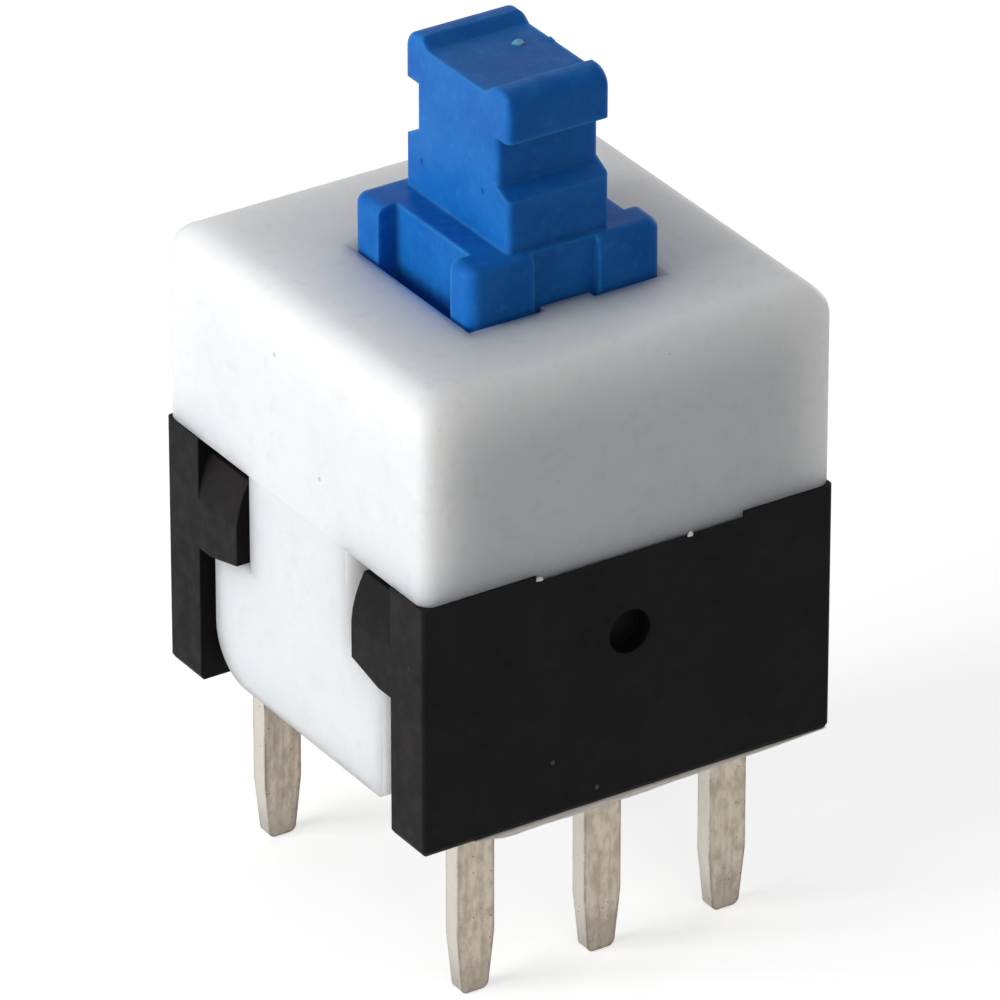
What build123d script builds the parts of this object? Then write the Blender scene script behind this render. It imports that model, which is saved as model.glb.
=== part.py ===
from build123d import *
import os

# Momentary push switch: two changeover poles, six board pins and a sprung, stepped plunger.
# Sizes in mm. The origin is at the centre of the base's underside, where it seats on a board.
# +Z points along the plunger and X runs along a row of pins. The front (-Y) wall has the gate recess.

os.makedirs("parts", exist_ok=True)

# Body
body_side = 8.0
base_wall_top = 4.62
cover_top = 8.30

# Base
base_corner_radius = 0.08
base_foot_inset = 0.05
base_foot_height = 0.08
floor_thickness = 1.0
long_wall_thickness = 0.76
post_width = 1.0
leg_recess_depth = 0.70
side_wall_thickness = 0.38
side_wall_rise = 0.68
side_wall_end_gap = 0.10
gate_diameter = 0.80
gate_depth = 0.35
gate_height = 3.05
spring_boss_clearance = 0.10
spring_boss_height = 0.70
spring_boss_chamfer = 0.15
divider_width = 0.30
divider_depth = 0.40
divider_height = 2.20

# Snap hooks on the base, which hold the cover's legs down. Heights are measured down from the wall's top.
hook_width = 1.20
hook_height = 1.87
hook_ramp_height = 1.17
hook_top_drop = 0.34
hook_underside_drop = 0.20
hook_lead_in = 0.26
hook_mid_lead_in = 0.08

# Cover
cover_corner_radius = 0.28
cover_edge_radius = 0.52
cover_rim_radius = 0.06
cover_top_thickness = 1.0
cover_wall_thickness = 0.60
cover_fit = 0.04
tongue_width = 4.00
tongue_depth = 0.09
tongue_offset = 0.20
tongue_side_gap = 0.03
tongue_overlap = 0.20
leg_setback = 0.08
neck_gap = 0.30
neck_root = 0.15
foot_gap = 0.38
foot_bottom = 0.42
foot_rear_radius = 0.90
foot_front_radius = 0.12
shoulder_clearance = 0.04

# Plunger: the collar's top is measured from the cover, and the stem's steps from the collar
plunger_y = -0.28
plunger_travel = 2.20
collar_rise = 1.00
collar_x = 3.72
collar_y = 3.60
collar_corner_radius = 0.22
collar_edge_radius = 0.18
collar_front_bar = 0.61
collar_rear_bar = 0.79
collar_web_x = 3.0
stem_x = 1.96
stem_y = 3.11
stem_rise = 2.85
stem_corner_radius = 0.10
head_height = 0.87
ledge_inner_rise = 1.10
ledge_outer_rise = 0.92
cap_groove_depth = 0.34
dish_depth = 0.18
dish_floor_half = 0.85
rim_inner_half = 1.10
rim_outer_radius = 0.33
rim_inner_radius = 0.06
hole_clearance = 0.08
guide_tab_width = 0.94
guide_tab_reach = 0.17
guide_clearance = 0.04
guide_side_gap = 0.16
slider_side_gap = 0.47
slider_blade_gap = 0.42
slider_top_gap = 0.02
slider_stop_gap = 0.05
slider_corner_radius = 0.20
rail_width = 0.80
rail_clearance = 0.06
spring_bore_roof = 0.84

# Return spring
spring_wire = 0.22
spring_outer_diameter = 2.00
spring_turns = 5.5
spring_seat_gap = 0.01
spring_bore_clearance = 0.10
wire_flat_count = 8

# Terminals
pin_width = 0.72
pin_thickness = 0.36
pin_length = 3.43
pin_taper_length = 1.10
pin_tip_width = 0.52
pin_tip_thickness = 0.28
pin_tip_radius = 0.13
pin_side_gap = 0.06
slot_clearance = 0.02
blade_width = 1.30
blade_offset = 0.14
blade_bend_height = 0.30
blade_end_radius = 0.15
blade_above_contact = 0.63
closed_zone_below_contact = 0.57
open_zone_above_contact = 1.03
lower_bend_above_floor = 0.60

# Moving contacts
contact_thickness = 0.12
contact_pocket_depth = 0.32
contact_ledge = 0.50
contact_strip_height = 0.70
contact_prong_width = 0.60
contact_prong_inset = 0.50
contact_bump_rise = 0.62
contact_tip_rise = 1.20
contact_tip_reach = 0.12
contact_gap = 0.03
contact_play = 0.03
contact_headroom = 0.09

# Places worked out from the sizes above
half = body_side / 2
side_wall_outer = half - leg_recess_depth
cavity_half_x = side_wall_outer - side_wall_thickness
cavity_half_y = half - long_wall_thickness
post_inner = half - post_width
hook_inner = post_inner - hook_width
hook_bottom = base_wall_top - hook_height
hook_face_top = base_wall_top - hook_ramp_height
hook_top = base_wall_top - hook_top_drop
hook_outer_bottom = hook_bottom - hook_underside_drop
cover_underside = cover_top - cover_top_thickness
cover_inner_x = side_wall_outer + cover_fit
cover_inner_y = half - cover_wall_thickness
neck_half = hook_inner - neck_gap
foot_half = post_inner - foot_gap
leg_outer = half - leg_setback
hole_x = collar_x + 2 * hole_clearance
hole_y = collar_y + 2 * hole_clearance
collar_top = cover_top + collar_rise
stem_top = collar_top + stem_rise
terminal_pitch = cavity_half_x - pin_side_gap - pin_width / 2
row_half_spacing = cavity_half_y - slot_clearance - pin_thickness / 2
blade_face = row_half_spacing - pin_thickness / 2 - blade_offset
slider_half_x = cavity_half_x - slider_side_gap
slider_half_y = blade_face - slider_blade_gap
slider_top = cover_underside - slider_top_gap
slider_bottom = floor_thickness + plunger_travel + slider_stop_gap
spring_bore_top = slider_top - spring_bore_roof
prong_spacing = terminal_pitch - contact_prong_inset
strip_half = prong_spacing + contact_prong_width / 2
strip_bottom = slider_bottom + contact_ledge
strip_top = strip_bottom + contact_strip_height
strip_face = slider_half_y - contact_pocket_depth + contact_play
contact_height = strip_top + contact_bump_rise
pressed_contact_height = contact_height - plunger_travel

# Black base: a tray with end posts, hooks for the cover's legs and slots for the pins
with BuildPart() as base:
    with BuildSketch(Plane.XY):
        RectangleRounded(body_side, body_side, base_corner_radius)
    extrude(amount=base_wall_top)
    underside = base.faces().sort_by(Axis.Z)[0]
    chamfer(underside.edges(), base_foot_inset, base_foot_height, reference=underside)
    # Inside of the tray
    with BuildSketch(Plane.XY.offset(floor_thickness)):
        Rectangle(2 * cavity_half_x, 2 * cavity_half_y)
    extrude(amount=base_wall_top - floor_thickness, mode=Mode.SUBTRACT)
    # Recesses for the cover's legs, open at the bottom
    with BuildSketch(Plane.XY):
        for side in (-1, 1):
            with Locations((side * (half - leg_recess_depth / 2), 0)):
                Rectangle(leg_recess_depth, 2 * post_inner)
    extrude(amount=base_wall_top, mode=Mode.SUBTRACT)
    # Side walls behind the legs, which also locate the cover from inside
    with BuildSketch(Plane.XY.offset(floor_thickness)):
        for side in (-1, 1):
            with Locations((side * (side_wall_outer - side_wall_thickness / 2), 0)):
                Rectangle(side_wall_thickness, 2 * (cover_inner_y - side_wall_end_gap))
    extrude(amount=base_wall_top + side_wall_rise - floor_thickness)
    # Snap hooks: a curved lead-in over an upright face, with a sloping underside
    for side in (-1, 1):
        for end in (-1, 1):
            with BuildSketch(Plane.XZ.offset(-end * hook_inner)):
                with BuildLine():
                    lead_in = (side * (half - hook_lead_in), hook_top)
                    lip = (side * half, hook_face_top)
                    Polyline(
                        lead_in,
                        (side * side_wall_outer, hook_top),
                        (side * side_wall_outer, hook_outer_bottom),
                        (side * half, hook_outer_bottom),
                        lip,
                    )
                    middle = (side * (half - hook_mid_lead_in), (hook_face_top + hook_top) / 2)
                    ThreePointArc(lip, middle, lead_in)
                make_face()
            extrude(amount=-end * hook_width)
            with BuildSketch(Plane.YZ.offset(side * side_wall_outer)):
                with BuildLine():
                    Polyline(
                        (end * hook_inner, hook_outer_bottom),
                        (end * hook_inner, hook_bottom),
                        (end * foot_half, hook_outer_bottom),
                        close=True,
                    )
                make_face()
            extrude(amount=side * leg_recess_depth, mode=Mode.SUBTRACT)
    # Shallow notch in the top of the front wall for the cover's tongue
    with BuildSketch(Plane.XY.offset(base_wall_top - tongue_depth)):
        with Locations((tongue_offset, -half + long_wall_thickness / 2)):
            Rectangle(tongue_width + 2 * tongue_side_gap, long_wall_thickness)
    extrude(amount=tongue_depth, mode=Mode.SUBTRACT)
    # Round gate recess in the front wall
    with BuildSketch(Plane.XZ.offset(half)):
        with Locations((0, gate_height)):
            Circle(gate_diameter / 2)
    extrude(amount=-gate_depth, mode=Mode.SUBTRACT)
    # Dividers between the terminals, on the inner faces of the long walls
    with BuildSketch(Plane.XY.offset(floor_thickness)):
        for end in (-1, 1):
            for side in (-1, 1):
                with Locations((side * terminal_pitch / 2, end * (cavity_half_y - divider_depth / 2))):
                    Rectangle(divider_width, divider_depth)
    extrude(amount=divider_height)
    # Slots for the six pins
    with BuildSketch(Plane.XY):
        with GridLocations(terminal_pitch, 2 * row_half_spacing, 3, 2):
            Rectangle(pin_width + 2 * slot_clearance, pin_thickness + 2 * slot_clearance)
    extrude(amount=floor_thickness, mode=Mode.SUBTRACT)
    # Boss that centres the return spring
    with BuildSketch(Plane.XY.offset(floor_thickness)):
        Circle(spring_outer_diameter / 2 - spring_wire - spring_boss_clearance)
    extrude(amount=spring_boss_height)
    chamfer(base.faces(Select.LAST).sort_by(Axis.Z)[-1].edges(), spring_boss_chamfer)

base.part.label = "base"
export_step(base.part, "parts/base.step")

# White cover: an open-bottomed shell with the plunger hole and a snap leg on each side
with BuildPart() as cover:
    with BuildSketch(Plane.XY.offset(base_wall_top)):
        RectangleRounded(body_side, body_side, cover_corner_radius)
    extrude(amount=cover_top - base_wall_top)
    fillet(cover.edges().group_by(Axis.Z)[-1], cover_edge_radius)
    fillet(cover.edges().group_by(Axis.Z)[0], cover_rim_radius)
    # Shallow tongue under the front edge
    with BuildSketch(Plane.XY.offset(base_wall_top - tongue_depth)):
        with Locations((tongue_offset, -half + cover_wall_thickness / 2)):
            Rectangle(tongue_width, cover_wall_thickness)
    extrude(amount=tongue_depth + tongue_overlap)
    with BuildSketch(Plane.XY.offset(base_wall_top)):
        Rectangle(2 * cover_inner_x, 2 * cover_inner_y)
    extrude(amount=cover_underside - base_wall_top, mode=Mode.SUBTRACT)
    # Hole for the plunger's collar, with a guide tab at the middle of its front and rear edges
    with BuildSketch(Plane.XY.offset(cover_underside)):
        with Locations((0, plunger_y)):
            Rectangle(hole_x, hole_y)
        for end in (-1, 1):
            with Locations((0, plunger_y + end * (hole_y - guide_tab_reach) / 2)):
                Rectangle(guide_tab_width, guide_tab_reach, mode=Mode.SUBTRACT)
    extrude(amount=cover_top_thickness, mode=Mode.SUBTRACT)
    # Each leg is a neck between the hooks and a wide foot that catches under them
    neck_shoulder = hook_bottom - shoulder_clearance
    foot_shoulder = hook_outer_bottom - shoulder_clearance
    for side in (-1, 1):
        with BuildSketch(Plane.YZ.offset(side * cover_inner_x)):
            with BuildLine():
                Polyline(
                    (-neck_half, base_wall_top + neck_root),
                    (-neck_half, neck_shoulder),
                    (-foot_half, foot_shoulder),
                    (-foot_half, foot_bottom),
                    (foot_half, foot_bottom),
                    (foot_half, foot_shoulder),
                    (neck_half, neck_shoulder),
                    (neck_half, base_wall_top + neck_root),
                    close=True,
                )
            make_face()
            fillet(vertices().group_by(Axis.Y)[0].sort_by(Axis.X)[0], foot_front_radius)
            fillet(vertices().group_by(Axis.Y)[0].sort_by(Axis.X)[-1], foot_rear_radius)
        extrude(amount=side * (leg_outer - cover_inner_x))

cover.part.label = "cover"
export_step(cover.part, "parts/cover.step")

# Blue plunger: a hollow slider inside, a collar in the cover's hole and a stem that takes a cap
with BuildPart() as plunger:
    with BuildSketch(Plane.XY.offset(slider_bottom)):
        RectangleRounded(2 * slider_half_x, 2 * slider_half_y, slider_corner_radius)
        Rectangle(2 * (cavity_half_x - rail_clearance), rail_width)
    extrude(amount=slider_top - slider_bottom)
    # Collar, with a notch on each side and grooves for the guide tabs
    with BuildSketch(Plane.XY.offset(slider_top)):
        with Locations((0, plunger_y)):
            RectangleRounded(collar_x, collar_y, collar_corner_radius)
    extrude(amount=collar_top - slider_top)
    fillet(plunger.edges().group_by(Axis.Z)[-1], collar_edge_radius)
    notch_length = collar_y - collar_front_bar - collar_rear_bar
    notch_middle = plunger_y + (collar_front_bar - collar_rear_bar) / 2
    groove_depth = guide_tab_reach - hole_clearance + guide_clearance
    with BuildSketch(Plane.XY.offset(slider_top)):
        for side in (-1, 1):
            with Locations((side * (collar_x + collar_web_x) / 4, notch_middle)):
                Rectangle((collar_x - collar_web_x) / 2, notch_length)
            with Locations((0, plunger_y + side * (collar_y - groove_depth) / 2)):
                Rectangle(guide_tab_width + 2 * guide_side_gap, groove_depth)
    extrude(amount=collar_top - slider_top, mode=Mode.SUBTRACT)
    # Stem: its side profile has the cap groove, the ramped ledge and the dished top
    stem_side = Plane(origin=(-stem_x / 2, plunger_y, 0), x_dir=(0, 1, 0), z_dir=(1, 0, 0))
    stem_foot = collar_top - collar_edge_radius
    stem_edge = stem_y / 2
    groove_edge = stem_edge - cap_groove_depth
    with BuildSketch(stem_side):
        with BuildLine():
            Polyline(
                (0, stem_foot),
                (stem_edge, stem_foot),
                (stem_edge, collar_top + ledge_outer_rise),
                (groove_edge, collar_top + ledge_inner_rise),
                (groove_edge, stem_top - head_height),
                (stem_edge, stem_top - head_height),
                (stem_edge, stem_top),
                (rim_inner_half, stem_top),
                (dish_floor_half, stem_top - dish_depth),
                (0, stem_top - dish_depth),
            )
            mirror(about=Plane.YZ)
        make_face()
        rim_corners = vertices().group_by(Axis.Y)[-1].sort_by(Axis.X)
        fillet([rim_corners[0], rim_corners[-1]], rim_outer_radius)
        fillet(rim_corners[1:3], rim_inner_radius)
    extrude(amount=stem_x)
    uprights = plunger.edges().filter_by(Axis.Z).filter_by(lambda edge: edge.center().Z > collar_top)
    fillet(uprights, stem_corner_radius)
    # Bore for the return spring
    with BuildSketch(Plane.XY.offset(slider_bottom)):
        Circle(spring_outer_diameter / 2 + spring_bore_clearance)
    extrude(amount=spring_bore_top - slider_bottom, mode=Mode.SUBTRACT)
    # Pockets for the moving contacts
    with BuildSketch(Plane.XY.offset(strip_bottom - contact_play)):
        for end in (-1, 1):
            with Locations((0, end * (slider_half_y - contact_pocket_depth / 2))):
                Rectangle(2 * (strip_half + contact_play), contact_pocket_depth)
    extrude(amount=strip_top + contact_tip_rise + contact_headroom - strip_bottom, mode=Mode.SUBTRACT)

plunger.part.label = "plunger"
export_step(plunger.part, "parts/plunger.step")

# Return spring between the base's floor and the top of the plunger's bore. Its wire has small flats.
spring_low = floor_thickness + spring_wire / 2 + spring_seat_gap
spring_high = spring_bore_top - spring_wire / 2 - spring_seat_gap
with BuildPart() as return_spring:
    with BuildLine():
        coil = Helix(
            pitch=(spring_high - spring_low) / spring_turns,
            height=spring_high - spring_low,
            radius=(spring_outer_diameter - spring_wire) / 2,
            center=(0, 0, spring_low),
        )
    with BuildSketch(Plane(origin=coil @ 0, z_dir=coil % 0)):
        RegularPolygon(spring_wire / 2, wire_flat_count)
    sweep(path=coil, is_frenet=True)

return_spring.part.label = "return_spring"
export_step(return_spring.part, "parts/return_spring.step")

# Stamped terminals: a tapered pin below the floor, and a blade inside that steps in to its contact zone.
# Each kind has its place along the row, its reach to the left and right, its top and its lower bend.
inner_reach = blade_width / 2
wall_reach = cavity_half_x - slot_clearance - terminal_pitch
upper_blade_top = contact_height + blade_above_contact
open_blade_top = pressed_contact_height + open_zone_above_contact
lower_bend = floor_thickness + lower_bend_above_floor
closed_bend = contact_height - closed_zone_below_contact - blade_bend_height
terminal_kinds = {
    "normally_closed": (-terminal_pitch, wall_reach, inner_reach, upper_blade_top, closed_bend),
    "common": (0, inner_reach, inner_reach, upper_blade_top, lower_bend),
    "normally_open": (terminal_pitch, inner_reach, wall_reach, open_blade_top, lower_bend),
}
pin_taper_top = pin_taper_length - pin_length
outer_face = row_half_spacing + pin_thickness / 2
inner_face = row_half_spacing - pin_thickness / 2
for row, end in (("front", -1), ("rear", 1)):
    for kind, (place, left, right, blade_top, bend) in terminal_kinds.items():
        with BuildPart() as terminal:
            # Side profile of the bent sheet
            with BuildSketch(Plane.YZ.offset(place - left)):
                with BuildLine():
                    Polyline(
                        (end * (row_half_spacing + pin_tip_thickness / 2), -pin_length),
                        (end * outer_face, pin_taper_top),
                        (end * outer_face, bend),
                        (end * (outer_face - blade_offset), bend + blade_bend_height),
                        (end * (outer_face - blade_offset), blade_top),
                        (end * (inner_face - blade_offset), blade_top),
                        (end * (inner_face - blade_offset), bend + blade_bend_height),
                        (end * inner_face, bend),
                        (end * inner_face, pin_taper_top),
                        (end * (row_half_spacing - pin_tip_thickness / 2), -pin_length),
                        close=True,
                    )
                make_face()
            extrude(amount=left + right)
            # Front outline of the stamping
            with BuildSketch(Plane.XZ.offset(-end * row_half_spacing)):
                with BuildLine():
                    Polyline(
                        (place - pin_tip_width / 2, -pin_length),
                        (place - pin_width / 2, pin_taper_top),
                        (place - pin_width / 2, floor_thickness),
                        (place - left, floor_thickness),
                        (place - left, blade_top),
                        (place + right, blade_top),
                        (place + right, floor_thickness),
                        (place + pin_width / 2, floor_thickness),
                        (place + pin_width / 2, pin_taper_top),
                        (place + pin_tip_width / 2, -pin_length),
                        close=True,
                    )
                make_face()
                fillet(vertices().group_by(Axis.Y)[0], pin_tip_radius)
                fillet(vertices().group_by(Axis.Y)[-1], blade_end_radius)
            extrude(amount=pin_thickness + blade_offset, both=True, mode=Mode.INTERSECT)
        terminal.part.label = f"{row}_{kind}_terminal"
        export_step(terminal.part, f"parts/{row}_{kind}_terminal.step")

# Moving contacts: a strip held in each side of the plunger, with three sprung prongs
with BuildPart() as front_contact:
    with BuildSketch(Plane.XZ.offset(strip_face)):
        with Locations((0, (strip_bottom + strip_top) / 2)):
            Rectangle(2 * strip_half, contact_strip_height)
    extrude(amount=contact_thickness)
    strip_middle = strip_face + contact_thickness / 2
    bump_middle = blade_face - contact_gap - contact_thickness / 2
    for place in (-prong_spacing, 0, prong_spacing):
        with BuildSketch(Plane.YZ.offset(place - contact_prong_width / 2)):
            with BuildLine():
                ThreePointArc(
                    (-strip_middle, strip_top),
                    (-bump_middle, contact_height),
                    (-strip_middle - contact_tip_reach, strip_top + contact_tip_rise),
                )
            trace(line_width=contact_thickness)
        extrude(amount=contact_prong_width)

front_contact.part.label = "front_moving_contact"
export_step(front_contact.part, "parts/front_moving_contact.step")

with BuildPart() as rear_contact:
    add(front_contact.part.rotate(Axis.Z, 180))

rear_contact.part.label = "rear_moving_contact"
export_step(rear_contact.part, "parts/rear_moving_contact.step")
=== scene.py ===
import math

import bmesh
import bpy
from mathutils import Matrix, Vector


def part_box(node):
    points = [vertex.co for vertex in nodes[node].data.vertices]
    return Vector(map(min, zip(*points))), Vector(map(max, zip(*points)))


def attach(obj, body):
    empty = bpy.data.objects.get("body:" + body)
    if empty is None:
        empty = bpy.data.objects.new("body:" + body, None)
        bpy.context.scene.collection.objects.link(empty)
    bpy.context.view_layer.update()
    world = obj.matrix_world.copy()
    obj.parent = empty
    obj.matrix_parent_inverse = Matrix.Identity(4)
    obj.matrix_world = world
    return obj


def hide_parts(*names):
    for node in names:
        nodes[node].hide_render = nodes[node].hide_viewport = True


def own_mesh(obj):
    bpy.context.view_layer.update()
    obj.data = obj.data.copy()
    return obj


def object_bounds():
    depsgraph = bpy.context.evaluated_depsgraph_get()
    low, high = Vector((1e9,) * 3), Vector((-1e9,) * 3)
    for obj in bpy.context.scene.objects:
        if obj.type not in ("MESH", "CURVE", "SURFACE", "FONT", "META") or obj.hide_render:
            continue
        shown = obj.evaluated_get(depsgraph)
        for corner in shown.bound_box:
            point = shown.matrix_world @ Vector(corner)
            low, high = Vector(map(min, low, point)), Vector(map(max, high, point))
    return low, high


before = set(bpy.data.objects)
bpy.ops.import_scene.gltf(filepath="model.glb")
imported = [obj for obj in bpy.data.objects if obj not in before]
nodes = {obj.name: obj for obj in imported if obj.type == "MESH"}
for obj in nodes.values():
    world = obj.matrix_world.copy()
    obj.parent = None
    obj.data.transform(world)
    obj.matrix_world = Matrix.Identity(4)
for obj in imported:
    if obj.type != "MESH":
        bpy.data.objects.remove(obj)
cad_low, cad_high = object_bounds()
mm = 0.001

# Camera, fitted to the photograph: angles in degrees, lengths in metres, sensor and lens in millimetres
camera_azimuth = -32.7
camera_elevation = 28.7
camera_distance = 173.8 * mm
camera_aim = Vector((-0.21, -0.39, 3.90)) * mm
camera_sensor = 36.0
camera_lens = 377.6
camera_clip_start = 8.69 * mm
camera_clip_end = 10.0

# Stage
floor_side = 1.2
floor_white = 0.80
floor_glow = 0.57
ambient_level = 0.255

# Lamps: angles in degrees, distance and size in metres, power in watts
lamp_aim = Vector((0, 0, 5)) * mm
lamps = {
    "key": {"azimuth": -98.0, "elevation": 16.0, "distance": 0.16, "size": 0.10, "power": 0.25},
    "top": {"azimuth": 0.0, "elevation": 89.0, "distance": 0.16, "size": 0.12, "power": 0.008},
    "front": {"azimuth": -15.0, "elevation": 30.0, "distance": 0.18, "size": 0.05, "power": 0.012},
    "back": {"azimuth": 112.0, "elevation": 9.0, "distance": 0.16, "size": 0.08, "power": 0.070},
}

# Levels between which most noise patches fade, and between which a turned normal marks an edge
soft_levels = (0.3, 0.7)
edge_levels = (0.75, 0.995)

# White plastic of the cover
white_plain = (0.89, 0.89, 0.88)
white_cloud = (0.85, 0.86, 0.865)
white_mottle = (0.76, 0.75, 0.74)
dark_dust = (0.22, 0.22, 0.19)

# Black plastic of the base
black_plain = (0.0060, 0.0052, 0.0058)
black_cloud = (0.0100, 0.0085, 0.0090)
# Painted highlight along the edges of the black plastic
black_edge_highlight = (0.035, 0.034, 0.036)
pale_dust = (0.20, 0.23, 0.25)

# Blue plastic of the plunger
blue_plain = (0.004, 0.105, 0.40)
blue_cloud = (0.009, 0.135, 0.45)
blue_mottle = (0.020, 0.175, 0.50)
# Painted highlight along the plunger's edges
blue_edge_highlight = (0.05, 0.31, 0.72)
# Painted shade inside the small pits
blue_pit_shade = (0.004, 0.03, 0.13)
# Colour of the painted glint on the dish nub
gate_glint_colour = (0.22, 0.62, 0.92)

# Metals
pin_bright = (0.52, 0.46, 0.385)
pin_dull = (0.38, 0.325, 0.26)
pin_cut = (0.64, 0.605, 0.555)
pin_roughness = 0.36
contact_bright = (0.76, 0.74, 0.70)
contact_dull = (0.62, 0.56, 0.46)
contact_cut = (0.80, 0.78, 0.74)
contact_roughness = 0.26
tarnish_and_streak_brown = (0.09, 0.07, 0.055)
line_shade = 0.5
tip_shade = 0.45
wire_bright = (0.58, 0.57, 0.55)
wire_dull = (0.42, 0.41, 0.40)

# Moulding flash
flash_pale = (0.88, 0.84, 0.78)
flash_streak = (0.66, 0.60, 0.53)
flash_spot = (0.20, 0.16, 0.13)

# Small marks on the surfaces, in millimetres
tip_height = -3.43
tip_worn_length = 0.9
speck_radius = 0.05
cover_specks = ((-4.0, 0.30, 4.50), (-4.0, -0.85, 5.62), (-4.0, 0.52, 7.30))
base_specks = ((-0.63, -4.0, 0.30), (-1.50, -4.0, 1.03))
pit_radius = 0.055
plunger_pits = ((-0.98, 0.78, 9.89), (-0.98, -1.07, 10.15))
# Centre and radius of the painted glint on the dish nub
gate_glint_centre = (0.43, 0.07, 12.01)
gate_glint_radius = 0.13

# Bead of flash under the front wall, in millimetres. Each wave has its rate along X, shift and height.
bead_left = -3.00
bead_right = 3.96
bead_face = -3.985
bead_depth = 0.12
bead_drop = 0.125
bead_least_drop = 0.004
bead_lean = 1.1
bead_least_depth = 0.8
bead_start_rate = 12.0
bead_end_rate = 1.8
bead_end_power = 0.6
bead_waves = ((5.0, 0.0, 0.05), (17.0, 1.0, 0.03))
bead_stations = 61
bead_ring = 10

# Lumps of flash: centre and radii in millimetres. Each wave has its height, rates along XYZ and shift.
rim_burrs = {
    "rim_burr_left": ((-1.76, -3.985, 4.550), (0.075, 0.030, 0.050)),
    "rim_burr_right": ((1.17, -3.992, 4.515), (0.060, 0.018, 0.065)),
}
stem_lumps = {
    "stem_burr": ((0.965, -0.10, 11.955), (0.045, 0.075, 0.045)),
    "dish_nub": ((0.43, 0.07, 11.965), (0.13, 0.10, 0.045)),
}
lump_waves = ((0.14, (3.1, 0.0, 1.7), 0.0), (0.10, (-2.2, 4.3, 0.0), 0.6))
lump_subdivisions = 4

# Return spring, in millimetres
spring_wire = 0.22
spring_turns = 5.5
spring_stations = 221
spring_ring = 12


def towards(azimuth, elevation):
    """Unit vector from the object towards that azimuth and elevation. Azimuth 0 is the -Y side."""
    turn = math.radians(azimuth)
    rise = math.radians(elevation)
    return Vector((math.sin(turn) * math.cos(rise), -math.cos(turn) * math.cos(rise), math.sin(rise)))


def make_camera():
    data = bpy.data.cameras.new("camera")
    data.sensor_width = camera_sensor
    data.lens = camera_lens
    data.clip_start = camera_clip_start
    data.clip_end = camera_clip_end
    camera = bpy.data.objects.new("camera", data)
    bpy.context.scene.collection.objects.link(camera)
    camera.location = camera_aim + towards(camera_azimuth, camera_elevation) * camera_distance
    camera.rotation_euler = (math.radians(90 - camera_elevation), 0, math.radians(camera_azimuth))
    bpy.context.scene.camera = camera


def make_lamp(name, azimuth, elevation, distance, size, power):
    data = bpy.data.lights.new(name, "AREA")
    data.energy = power
    data.size = size
    lamp = bpy.data.objects.new(name, data)
    bpy.context.scene.collection.objects.link(lamp)
    direction = towards(azimuth, elevation)
    lamp.location = lamp_aim + direction * distance
    lamp.rotation_mode = "QUATERNION"
    lamp.rotation_quaternion = direction.to_track_quat("Z", "Y")


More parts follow.
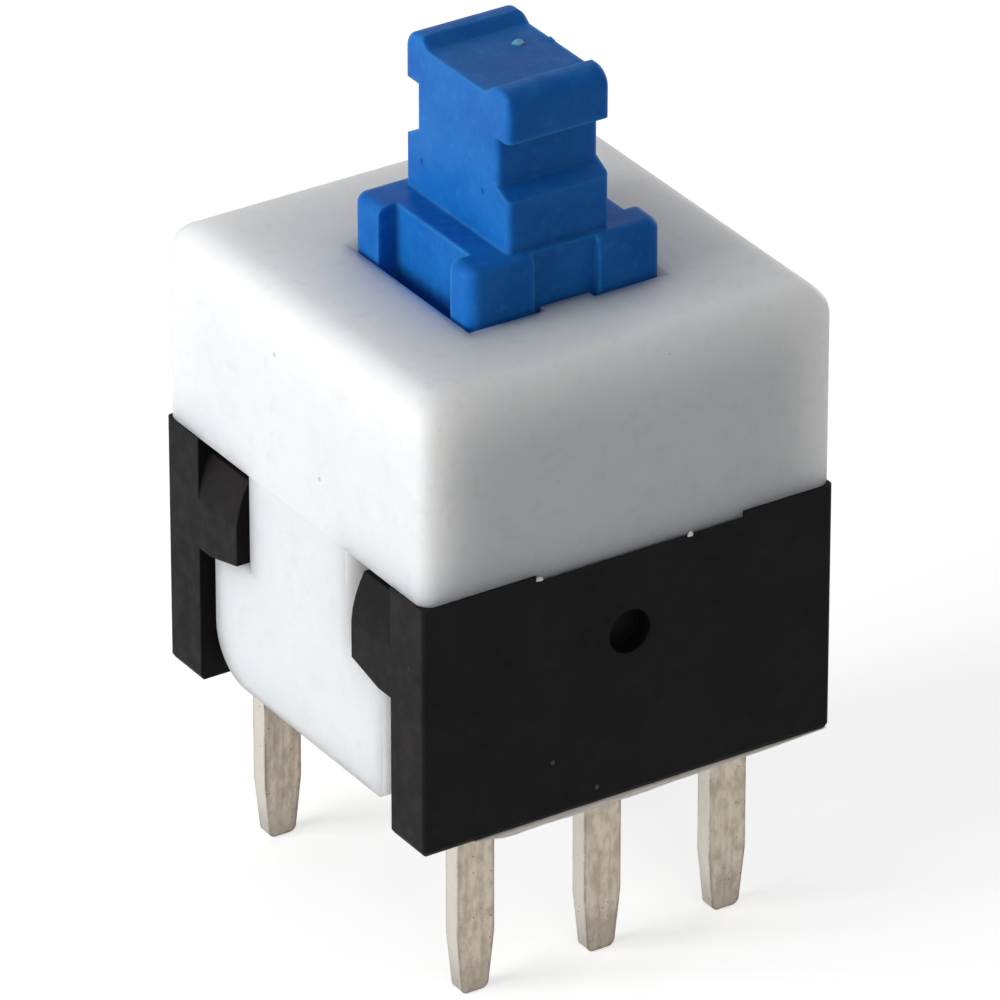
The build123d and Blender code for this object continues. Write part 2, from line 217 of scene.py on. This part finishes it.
class Nodes:
    """A small helper for building one node tree."""

    def __init__(self, tree):
        self.tree = tree
        self.tree.nodes.clear()

    def add(self, kind, inputs=None, **settings):
        node = self.tree.nodes.new(kind)
        for name, value in settings.items():
            setattr(node, name, value)
        for key, value in (inputs or {}).items():
            self.put(node.inputs[key], value)
        return node

    def put(self, socket, value):
        if isinstance(value, bpy.types.NodeSocket):
            self.tree.links.new(value, socket)
        else:
            socket.default_value = value

    def math(self, operation, first, second=0.0):
        node = self.add("ShaderNodeMath", operation=operation)
        self.put(node.inputs[0], first)
        self.put(node.inputs[1], second)
        return node.outputs[0]

    def steps(self, value, levels, span=(0.0, 1.0)):
        """Maps value smoothly from the two levels to span, and holds it outside them."""
        node = self.add("ShaderNodeMapRange", interpolation_type="SMOOTHSTEP")
        for socket, part in zip(node.inputs, (value, *levels, *span)):
            self.put(socket, part)
        return node.outputs[0]

    def mix(self, share, first, second):
        """Colour from first to second by share."""
        node = self.add("ShaderNodeMix", data_type="RGBA")
        self.put(node.inputs[0], share)
        self.put(node.inputs[6], first if isinstance(first, bpy.types.NodeSocket) else (*first, 1.0))
        self.put(node.inputs[7], second if isinstance(second, bpy.types.NodeSocket) else (*second, 1.0))
        return node.outputs[2]

    def tint(self, colour, mask, amount, other):
        """Moves colour towards the other one, by amount where mask is 1."""
        return self.mix(self.math("MULTIPLY", mask, amount), colour, other)

    def place(self, stretch=(1.0, 1.0, 1.0)):
        """Position on the object in millimetres, multiplied by stretch."""
        here = self.add("ShaderNodeTexCoord").outputs["Object"]
        scale = tuple(part / mm for part in stretch)
        return self.add("ShaderNodeMapping", {"Vector": here, "Scale": scale}).outputs[0]

    def noise(self, where, per_mm, detail=3.0, roughness=0.55):
        settings = {"Vector": where, "Scale": per_mm, "Detail": detail, "Roughness": roughness}
        return self.add("ShaderNodeTexNoise", settings).outputs["Fac"]

    def patches(self, where, per_mm, levels, span=(0.0, 1.0), **noise_settings):
        """Random patches: the noise from one level to the other becomes span."""
        return self.steps(self.noise(where, per_mm, **noise_settings), levels, span)

    def specks(self, where, per_mm, size, share):
        """1 in small spots, on that share of the cells of a random grid."""
        cells = self.add("ShaderNodeTexVoronoi", {"Vector": where, "Scale": per_mm})
        spot = self.steps(cells.outputs["Distance"], (size * 0.5, size), (1.0, 0.0))
        chosen = self.add("ShaderNodeSeparateColor", {"Color": cells.outputs["Color"]}).outputs[0]
        return self.math("MULTIPLY", spot, self.math("LESS_THAN", chosen, share))

    def spot(self, where, centre, radius):
        """1 within radius of centre, both in millimetres."""
        apart = self.add("ShaderNodeVectorMath", operation="DISTANCE")
        self.put(apart.inputs[0], where)
        self.put(apart.inputs[1], centre)
        return self.steps(apart.outputs["Value"], (0.6 * radius, radius), (1.0, 0.0))

    def with_spots(self, marks, where, centres, radius):
        """The marks, and a spot at each of the centres."""
        for centre in centres:
            marks = self.math("MAXIMUM", marks, self.spot(where, centre, radius))
        return marks

    def rounded(self, radius):
        """A normal that rounds sharp edges to that radius in millimetres."""
        return self.add("ShaderNodeBevel", {"Radius": radius * mm}, samples=2).outputs[0]

    def edges(self, soft):
        """1 along the edges that the rounded normal soft turns."""
        flat = self.add("ShaderNodeNewGeometry").outputs["Normal"]
        likeness = self.add("ShaderNodeVectorMath", operation="DOT_PRODUCT")
        self.put(likeness.inputs[0], soft)
        self.put(likeness.inputs[1], flat)
        return self.steps(likeness.outputs["Value"], edge_levels, (1.0, 0.0))

    def bump(self, height, distance, strength=1.0, under=None):
        """Bump from a height of 0 to 1, with its depth in millimetres."""
        node = self.add("ShaderNodeBump", {"Height": height, "Strength": strength, "Distance": distance * mm})
        if under is not None:
            self.put(node.inputs["Normal"], under)
        return node.outputs[0]


def new_material(name):
    material = bpy.data.materials.new(name)
    material.use_nodes = True
    tree = Nodes(material.node_tree)
    shader = tree.add("ShaderNodeBsdfPrincipled")
    output = tree.add("ShaderNodeOutputMaterial")
    tree.put(output.inputs["Surface"], shader.outputs[0])
    return material, tree, shader


def set_uniform(shader, **values):
    """Sets inputs that are the same all over. A name's underscores stand for spaces."""
    for name, value in values.items():
        shader.inputs[name.replace("_", " ")].default_value = value


def darker(colour, share):
    return tuple(share * part for part in colour)


def white_plastic():
    """Moulded white plastic, quite translucent, with faint clouding and a few dust specks."""
    material, tree, shader = new_material("white_plastic")
    where = tree.place()
    clouds = tree.patches(where, 0.55, (0.35, 0.7), roughness=0.6)
    colour = tree.mix(clouds, white_plain, white_cloud)
    mottle = tree.patches(where, 2.6, (0.5, 0.75), (0.0, 0.4), roughness=0.7)
    colour = tree.mix(mottle, colour, white_mottle)
    dust = tree.specks(where, 1.4, 0.06, 0.14)
    dust = tree.with_spots(dust, where, cover_specks, speck_radius)
    colour = tree.tint(colour, dust, 0.5, dark_dust)
    tree.put(shader.inputs["Base Color"], colour)
    tree.put(shader.inputs["Roughness"], tree.patches(where, 2.0, soft_levels, (0.40, 0.54)))
    set_uniform(shader, Subsurface_Weight=1.0, Subsurface_Radius=(1.0, 0.92, 0.84))
    set_uniform(shader, Subsurface_Scale=2.4 * mm, Specular_IOR_Level=0.3)
    return material


def black_plastic():
    """Moulded black plastic with a fine spark-eroded grain, painted highlights along the edges and some pale
    dust.
    """
    material, tree, shader = new_material("black_plastic")
    where = tree.place()
    rounded = tree.rounded(0.05)
    clouds = tree.patches(where, 0.7, soft_levels, detail=4.0, roughness=0.6)
    colour = tree.mix(clouds, black_plain, black_cloud)
    # Painted highlight: the edges are lightened, as where light catches them
    colour = tree.tint(colour, tree.edges(rounded), 0.4, black_edge_highlight)
    dust = tree.specks(where, 1.5, 0.035, 0.2)
    dust = tree.with_spots(dust, where, base_specks, speck_radius)
    colour = tree.tint(colour, dust, 0.35, pale_dust)
    tree.put(shader.inputs["Base Color"], colour)
    tree.put(shader.inputs["Roughness"], tree.patches(where, 3.0, soft_levels, (0.44, 0.60)))
    grain = tree.bump(tree.noise(where, 22.0, 3.0, 0.6), 0.006, 0.8, rounded)
    waves = tree.bump(tree.noise(where, 0.8, 2.0), 0.02, 0.4, grain)
    tree.put(shader.inputs["Normal"], waves)
    set_uniform(shader, Specular_IOR_Level=0.07)
    return material


def blue_plastic():
    """Moulded blue plastic with painted highlights along the edges, faint flow clouding, tiny pits darkened
    with painted shade, and a painted glint on the dish nub.
    """
    material, tree, shader = new_material("blue_plastic")
    where = tree.place()
    rounded = tree.rounded(0.11)
    clouds = tree.patches(where, 1.1, soft_levels, detail=4.0, roughness=0.6)
    colour = tree.mix(clouds, blue_plain, blue_cloud)
    mottle = tree.patches(where, 5.0, (0.5, 0.75), (0.0, 0.5), roughness=0.7)
    colour = tree.mix(mottle, colour, blue_mottle)
    # Painted highlight along the edges
    colour = tree.tint(colour, tree.edges(rounded), 0.7, blue_edge_highlight)
    pits = tree.specks(where, 1.5, 0.045, 0.2)
    pits = tree.with_spots(pits, where, plunger_pits, pit_radius)
    # The pits are real dents in the bump below; their darker colour is painted shade
    colour = tree.tint(colour, pits, 0.7, blue_pit_shade)
    # Painted glint: a pale spot where the dish nub catches the light
    gate = tree.spot(where, gate_glint_centre, gate_glint_radius)
    colour = tree.tint(colour, gate, 0.75, gate_glint_colour)
    tree.put(shader.inputs["Base Color"], colour)
    tree.put(shader.inputs["Roughness"], tree.patches(where, 4.0, soft_levels, (0.32, 0.46)))
    grain = tree.bump(tree.noise(where, 14.0, 2.0, 0.6), 0.006, 0.7, rounded)
    pitted = tree.bump(tree.math("SUBTRACT", 1.0, pits), 0.02, 0.8, grain)
    waves = tree.bump(tree.noise(where, 1.2, 2.0), 0.03, 0.5, pitted)
    tree.put(shader.inputs["Normal"], waves)
    set_uniform(shader, Subsurface_Weight=0.35, Subsurface_Radius=(0.15, 0.5, 1.0))
    set_uniform(shader, Subsurface_Scale=0.8 * mm, Specular_IOR_Level=0.08)
    return material


def tinned_metal(name, bright, dull, cut, roughness):
    """Stamped plated metal with drawing lines along Z, brown specks, darker brown streaks along the edges,
    dull tips and paler cut edges.
    """
    material, tree, shader = new_material(name)
    where = tree.place()
    lines = tree.noise(tree.place((9.0, 9.0, 0.5)), 1.0, 4.0, 0.6)
    stain = tree.noise(tree.place((1.0, 1.0, 0.45)), 5.0, 5.0, 0.7)
    colour = tree.mix(tree.steps(stain, (0.38, 0.66)), bright, dull)
    colour = tree.mix(tree.steps(lines, (0.45, 0.8), (0.0, 0.4)), colour, darker(dull, line_shade))
    facing = tree.add("ShaderNodeNewGeometry").outputs["True Normal"]
    sideways = tree.add("ShaderNodeSeparateXYZ", {"Vector": facing}).outputs[0]
    cut_face = tree.steps(tree.math("ABSOLUTE", sideways), (0.6, 0.9), (0.0, 0.8))
    colour = tree.mix(cut_face, colour, cut)
    rounded = tree.rounded(0.09)
    # Darker brown streaks in patches along the edges, taken into the same brown as the specks
    streaks = tree.patches(tree.place((5.0, 5.0, 2.6)), 1.0, (0.42, 0.58), roughness=0.7)
    streaks = tree.math("MULTIPLY", streaks, tree.edges(rounded))
    tarnish_and_edge_streaks = tree.math("MAXIMUM", tree.specks(where, 4.5, 0.09, 0.25), tree.specks(where, 9.0, 0.2, 0.12))
    tarnish_and_edge_streaks = tree.math("MAXIMUM", tarnish_and_edge_streaks, streaks)
    colour = tree.tint(colour, tarnish_and_edge_streaks, 0.75, tarnish_and_streak_brown)
    height = tree.add("ShaderNodeSeparateXYZ", {"Vector": where}).outputs[2]
    worn = tree.steps(height, (tip_height, tip_height + tip_worn_length), (0.45, 0.0))
    colour = tree.mix(worn, colour, darker(dull, tip_shade))
    tree.put(shader.inputs["Base Color"], colour)
    tree.put(shader.inputs["Roughness"], tree.steps(stain, soft_levels, (roughness, roughness + 0.16)))
    grain = tree.bump(lines, 0.014, 0.7, rounded)
    dents = tree.bump(tree.noise(where, 4.0, 3.0), 0.03, 0.6, grain)
    tree.put(shader.inputs["Normal"], dents)
    set_uniform(shader, Metallic=1.0)
    return material


def drawn_wire():
    """Bright spring wire with fine lines and small scratches."""
    material, tree, shader = new_material("spring_steel")
    where = tree.place()
    lines = tree.noise(tree.place((1.0, 1.0, 14.0)), 1.6, 4.0, 0.6)
    tree.put(shader.inputs["Base Color"], tree.mix(tree.steps(lines, soft_levels), wire_bright, wire_dull))
    tree.put(shader.inputs["Roughness"], tree.patches(where, 6.0, soft_levels, (0.24, 0.40)))
    tree.put(shader.inputs["Normal"], tree.bump(lines, 0.008, 0.5))
    set_uniform(shader, Metallic=1.0)
    return material


def pale_flash():
    """Thin, slightly yellowed plastic flash with darker streaks."""
    material, tree, shader = new_material("pale_flash")
    where = tree.place()
    streaks = tree.patches(tree.place((1.2, 1.0, 22.0)), 1.0, (0.4, 0.65), roughness=0.65)
    colour = tree.mix(streaks, flash_pale, flash_streak)
    colour = tree.tint(colour, tree.specks(where, 7.0, 0.12, 0.2), 0.5, flash_spot)
    tree.put(shader.inputs["Base Color"], colour)
    tree.put(shader.inputs["Roughness"], tree.patches(where, 6.0, soft_levels, (0.35, 0.55)))
    tree.put(shader.inputs["Normal"], tree.bump(tree.noise(where, 12.0, 4.0, 0.6), 0.01, 0.6))
    return material


def seen_plainly(tree):
    """1 for rays that show the background: from the camera, a reflection or clear material."""
    path = tree.add("ShaderNodeLightPath")
    seen = tree.math("MAXIMUM", path.outputs["Is Camera Ray"], path.outputs["Is Glossy Ray"])
    return tree.math("MAXIMUM", seen, path.outputs["Is Transmission Ray"])


def floor_material():
    """Pale floor that looks white to the camera and keeps the object's shadow."""
    material = bpy.data.materials.new("floor")
    material.use_nodes = True
    tree = Nodes(material.node_tree)
    plain = tree.add("ShaderNodeBsdfDiffuse", {"Color": (floor_white, floor_white, floor_white, 1.0)})
    glow = tree.add("ShaderNodeEmission", {"Strength": tree.math("MULTIPLY", seen_plainly(tree), floor_glow)})
    both = tree.add("ShaderNodeAddShader")
    tree.put(both.inputs[0], plain.outputs[0])
    tree.put(both.inputs[1], glow.outputs[0])
    output = tree.add("ShaderNodeOutputMaterial")
    tree.put(output.inputs["Surface"], both.outputs[0])
    return material


def make_floor():
    bpy.ops.mesh.primitive_plane_add(size=floor_side, location=(0, 0, cad_low.z))
    floor = bpy.context.object
    floor.name = "floor"
    floor.data.materials.append(floor_material())


def make_world():
    world = bpy.data.worlds.new("studio")
    bpy.context.scene.world = world
    world.use_nodes = True
    tree = Nodes(world.node_tree)
    level = tree.math("MULTIPLY", seen_plainly(tree), 1.0 - ambient_level)
    level = tree.math("ADD", ambient_level, level)
    background = tree.add("ShaderNodeBackground", {"Color": (1.0, 1.0, 1.0, 1.0), "Strength": level})
    output = tree.add("ShaderNodeOutputWorld")
    tree.put(output.inputs["Surface"], background.outputs[0])


def finish_mesh(name, shape, body, material):
    """Turns the bmesh shape into a smooth piece that rides on body."""
    mesh = bpy.data.meshes.new(name)
    shape.to_mesh(mesh)
    shape.free()
    for face in mesh.polygons:
        face.use_smooth = True
    piece = bpy.data.objects.new(name, mesh)
    bpy.context.scene.collection.objects.link(piece)
    piece.data.materials.append(material)
    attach(piece, body)
    return piece


def tube(rows):
    """A closed tube through rings of points, given in metres."""
    shape = bmesh.new()
    rings = [[shape.verts.new(point) for point in row] for row in rows]
    for near, far in zip(rings, rings[1:]):
        for turn in range(len(near)):
            after = (turn + 1) % len(near)
            shape.faces.new((near[turn], near[after], far[after], far[turn]))
    shape.faces.new(rings[0])
    shape.faces.new(reversed(rings[-1]))
    bmesh.ops.recalc_face_normals(shape, faces=shape.faces)
    return shape


def angles(count):
    """That many angles, evenly round a circle."""
    return [2 * math.pi * turn / count for turn in range(count)]


def lump(name, centre, radii, body, material):
    """A small uneven lump of moulding flash. Centre and radii are in millimetres."""
    shape = bmesh.new()
    bmesh.ops.create_icosphere(shape, subdivisions=lump_subdivisions, radius=1.0)
    for vertex in shape.verts:
        place = vertex.co.copy()
        swell = 1.0
        for height, rates, shift in lump_waves:
            swell += height * math.sin(place.dot(Vector(rates)) + shift)
        vertex.co = Vector([(centre[k] + radii[k] * swell * place[k]) * mm for k in range(3)])
    finish_mesh(name, shape, body, material)


def underside_bead(material):
    """A thin pale bead under the front wall, from behind the first pin to the right-hand corner."""
    rows = []
    for step in range(bead_stations):
        share = step / (bead_stations - 1)
        x = bead_left + (bead_right - bead_left) * share
        taper = min(1.0, bead_start_rate * share) * min(1.0, bead_end_rate * (1.0 - share)) ** bead_end_power
        swell = 1.0 + sum(height * math.sin(rate * x + shift) for rate, shift, height in bead_waves)
        drop = bead_drop * taper * swell + bead_least_drop
        deep = bead_depth * (bead_least_depth + (1.0 - bead_least_depth) * taper)
        row = []
        for angle in angles(bead_ring):
            y = bead_face + deep * 0.5 * (1.0 - math.cos(angle))
            z = -drop * 0.5 * (1.0 - bead_lean * math.sin(angle))
            row.append(Vector((x, y, z)) * mm)
        rows.append(row)
    finish_mesh("underside_bead", tube(rows), "housing", material)


def small_marks(blue):
    """Moulding flash and a small nub, where the photograph shows them."""
    flash = pale_flash()
    underside_bead(flash)
    for name, (centre, radii) in rim_burrs.items():
        lump(name, centre, radii, "housing", flash)
    for name, (centre, radii) in stem_lumps.items():
        lump(name, centre, radii, "button", blue)


def coil_spring(material):
    """The return spring, wound inside its CAD node's box."""
    low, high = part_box("return_spring")
    centre = (low + high) / 2
    wire = spring_wire * mm / 2
    radius = (high.x - low.x) / 2 - wire
    rise = high.z - low.z - 2 * wire
    lead = math.atan2(rise / spring_turns, 2 * math.pi * radius)
    rows = []
    for step in range(spring_stations):
        share = step / (spring_stations - 1)
        angle = 2 * math.pi * spring_turns * share
        outward = Vector((math.cos(angle), math.sin(angle), 0))
        onward = Vector((-math.sin(angle) * math.cos(lead), math.cos(angle) * math.cos(lead), math.sin(lead)))
        across = onward.cross(outward)
        middle = Vector((centre.x, centre.y, low.z + wire + rise * share)) + outward * radius
        ring = angles(spring_ring)
        rows.append([middle + (outward * math.cos(turn) + across * math.sin(turn)) * wire for turn in ring])
    spring = finish_mesh("coil_spring", tube(rows), "housing", material)
    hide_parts("return_spring")
    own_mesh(spring)


def dress():
    """Gives each node its material, and returns those that don't go on the pins."""
    pin_metal = tinned_metal("tinned_brass", pin_bright, pin_dull, pin_cut, pin_roughness)
    contact_metal = tinned_metal(
        "contact_bronze", contact_bright, contact_dull, contact_cut, contact_roughness
    )
    finishes = {
        "base": black_plastic(),
        "cover": white_plastic(),
        "plunger": blue_plastic(),
        "return_spring": drawn_wire(),
        "front_moving_contact": contact_metal,
        "rear_moving_contact": contact_metal,
    }
    for name, node in nodes.items():
        node.data.materials.clear()
        node.data.materials.append(finishes.get(name, pin_metal))
    return finishes


make_camera()
make_floor()
make_world()
for lamp_name, settings in lamps.items():
    make_lamp(lamp_name, **settings)
bpy.context.scene.view_settings.view_transform = "Standard"
finishes = dress()
small_marks(finishes["plunger"])
coil_spring(finishes["return_spring"])
